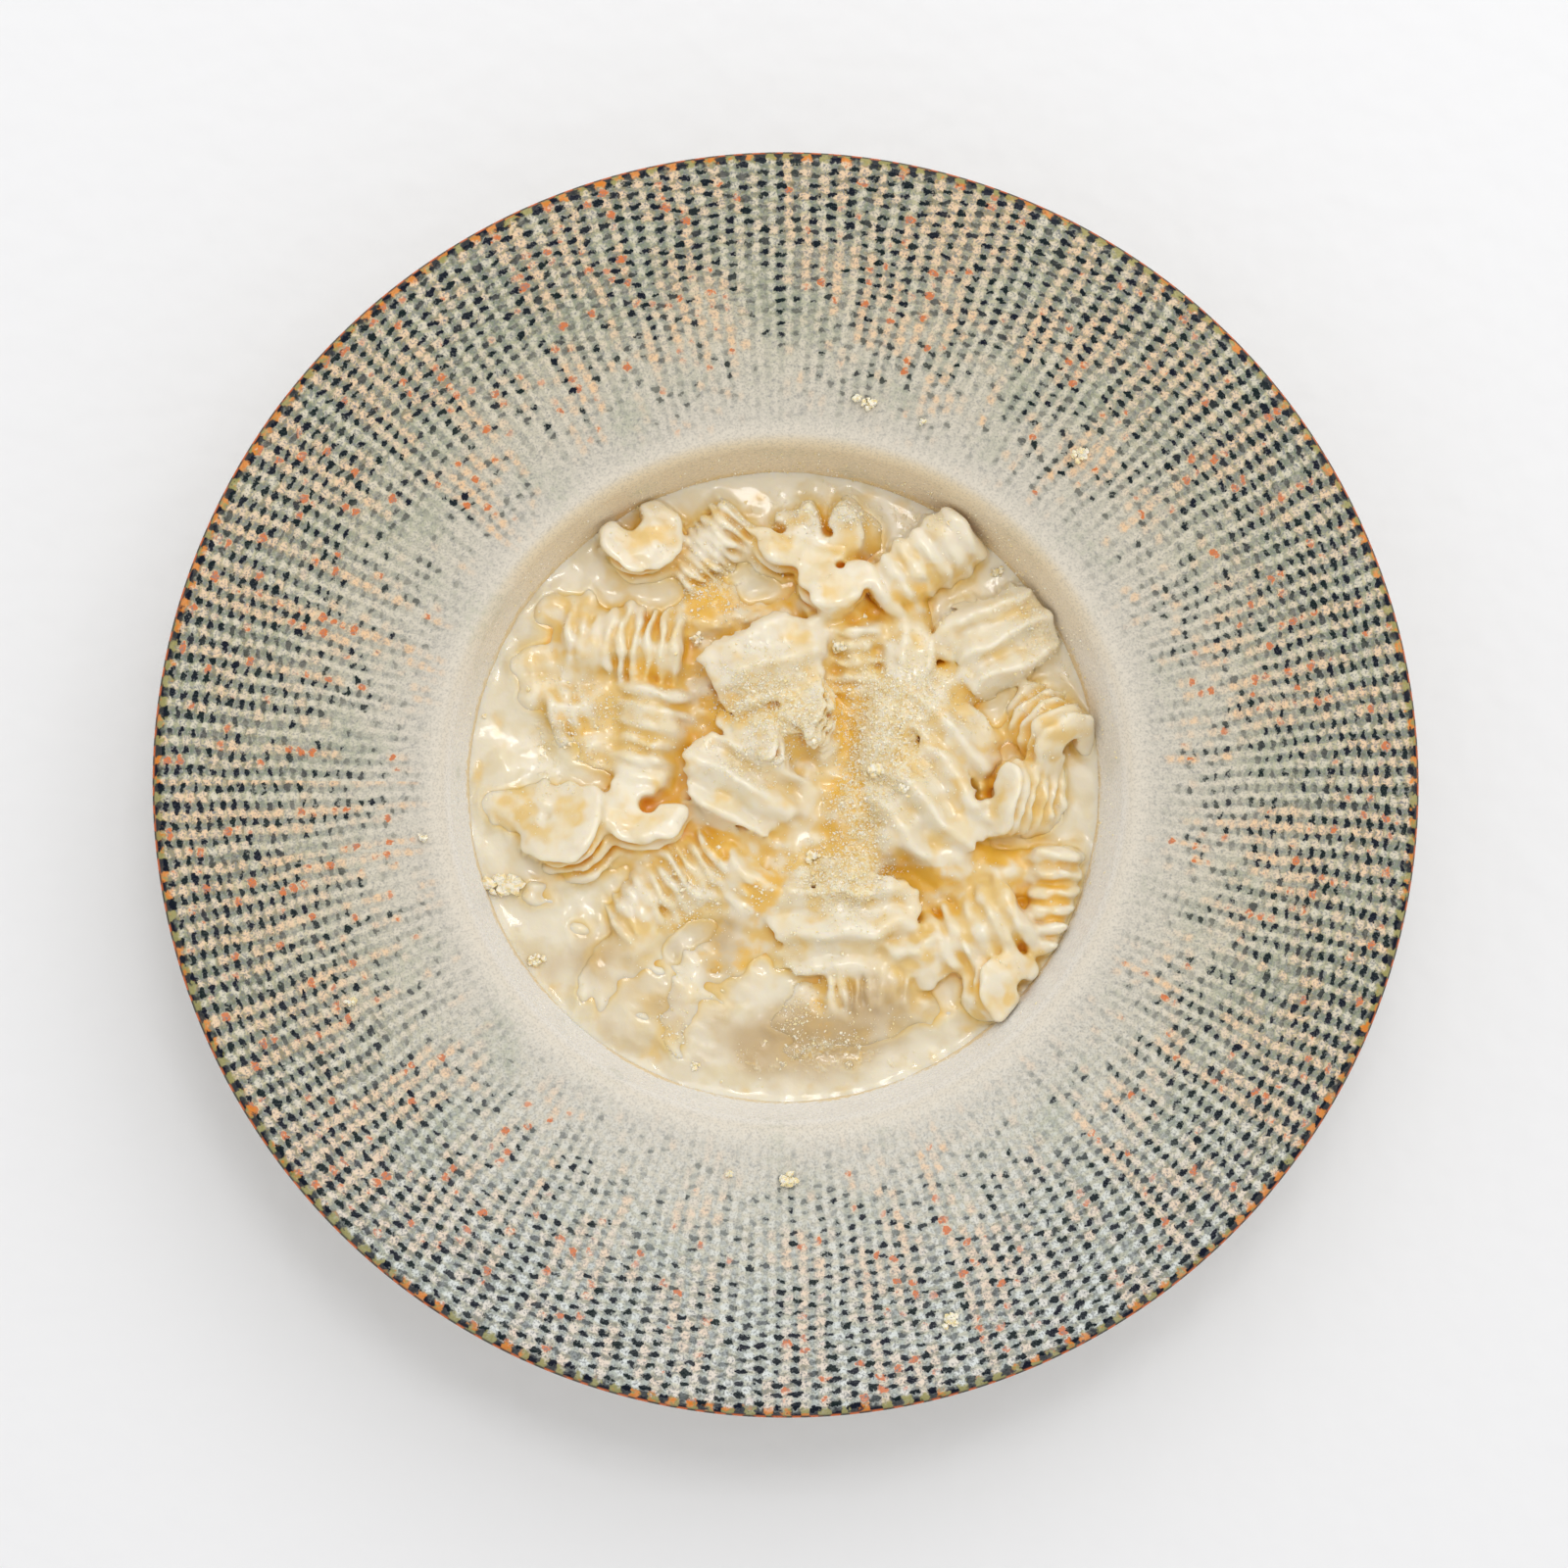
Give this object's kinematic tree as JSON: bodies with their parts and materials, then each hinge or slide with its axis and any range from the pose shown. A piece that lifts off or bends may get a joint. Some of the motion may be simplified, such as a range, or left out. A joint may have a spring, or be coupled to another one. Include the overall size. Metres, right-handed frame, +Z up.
{
  "type": "bowl of radiatori",
  "caption": "Wide-rimmed round pasta bowl holding short finned curled pasta in a white cream sauce with grated cheese.",
  "frame": {"origin": "centre of the bowl's foot ring, on the surface the bowl stands on", "axes": "+Z up along the bowl's axis, +Y towards the top edge of the picture, +X to its right"},
  "size_m": [0.28, 0.28, 0.052],
  "materials": {
    "stoneware": "reactive glazed stoneware, woven navy, sage and orange dashes that fade to speckled cream in the well",
    "cream_sauce": "glossy cream sauce",
    "pasta": "cooked pasta coated in cream, moist and slightly translucent, with grated hard cheese"
  },
  "bodies": {
    "root": {"bowl": "stoneware", "sauce": "cream_sauce", "radiatori": "pasta"}
  },
  "joints": []
}
